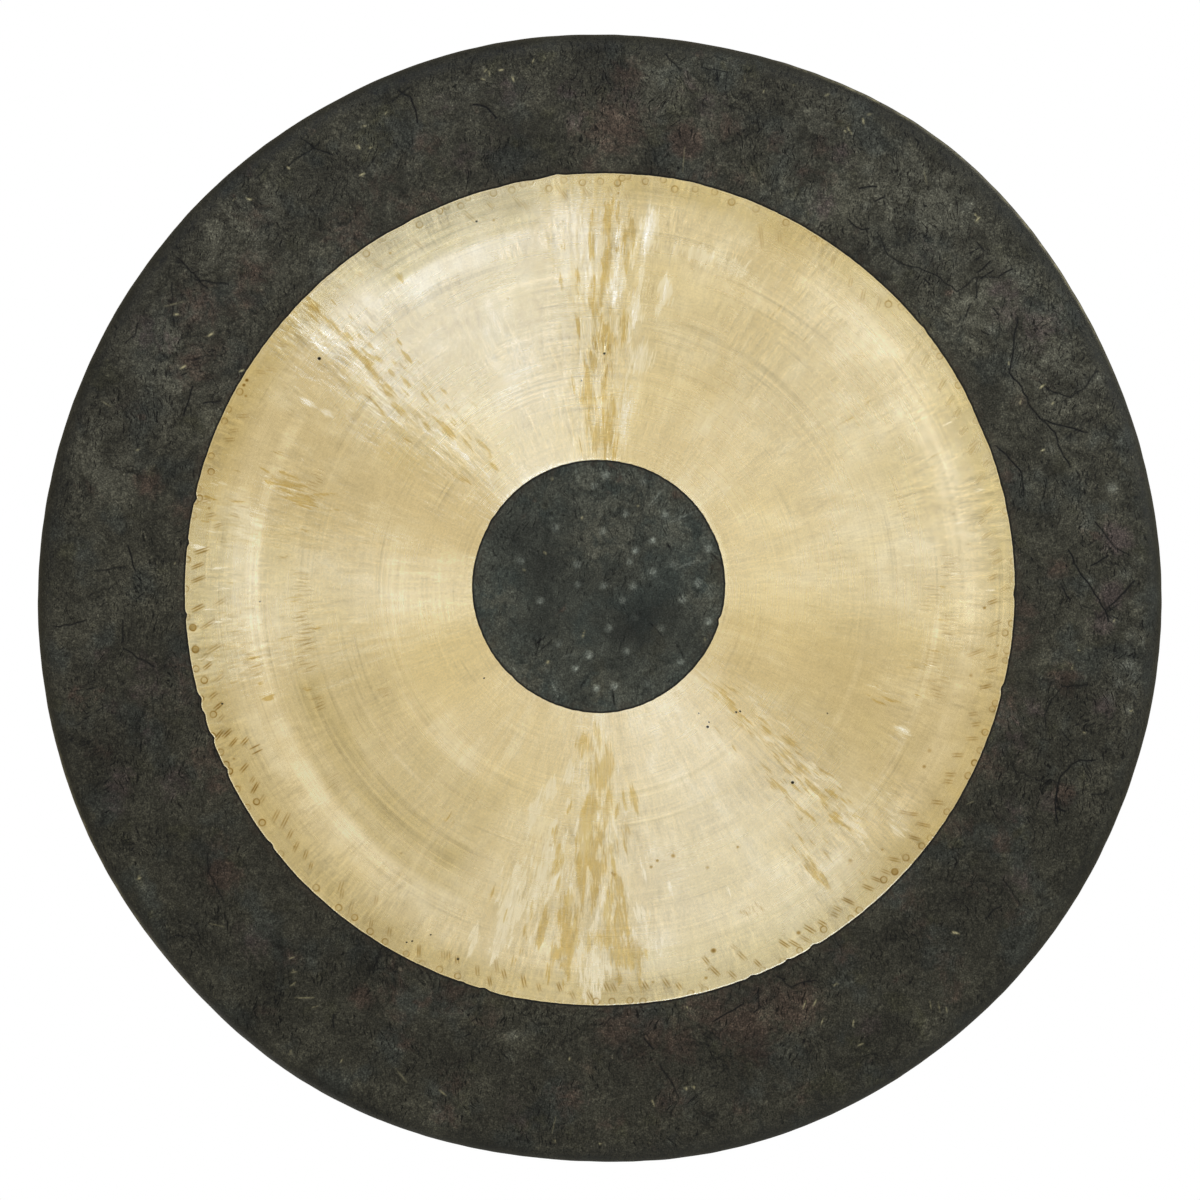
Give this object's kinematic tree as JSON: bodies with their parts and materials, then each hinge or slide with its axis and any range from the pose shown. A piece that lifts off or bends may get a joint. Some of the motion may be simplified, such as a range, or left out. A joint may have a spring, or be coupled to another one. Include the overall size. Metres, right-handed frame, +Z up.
{
  "type": "chau gong",
  "caption": "Flat round bronze gong with a shallow turned-back rim, black centre and border, a scraped bronze ring between them, and cord holes through the top of the rim.",
  "frame": {"origin": "midpoint of the line between the two cord holes' centres, in the middle of the rim's wall, where the gong hangs", "axes": "+Z up as it hangs, from the disc's centre to the cord holes; the struck face looks along -Y and the rim turns back along +Y; +X to the right seen from the front"},
  "size_m": [0.8128, 0.057, 0.8128],
  "materials": {
    "scraped_bronze": "high-tin bronze, scraped on the lathe in fine circles over hammer marks, satin",
    "black_patina": "black forging scale on bronze, mottled, dull with small bright nicks"
  },
  "bodies": {
    "root": {"gong_disc": "scraped_bronze"}
  },
  "joints": []
}
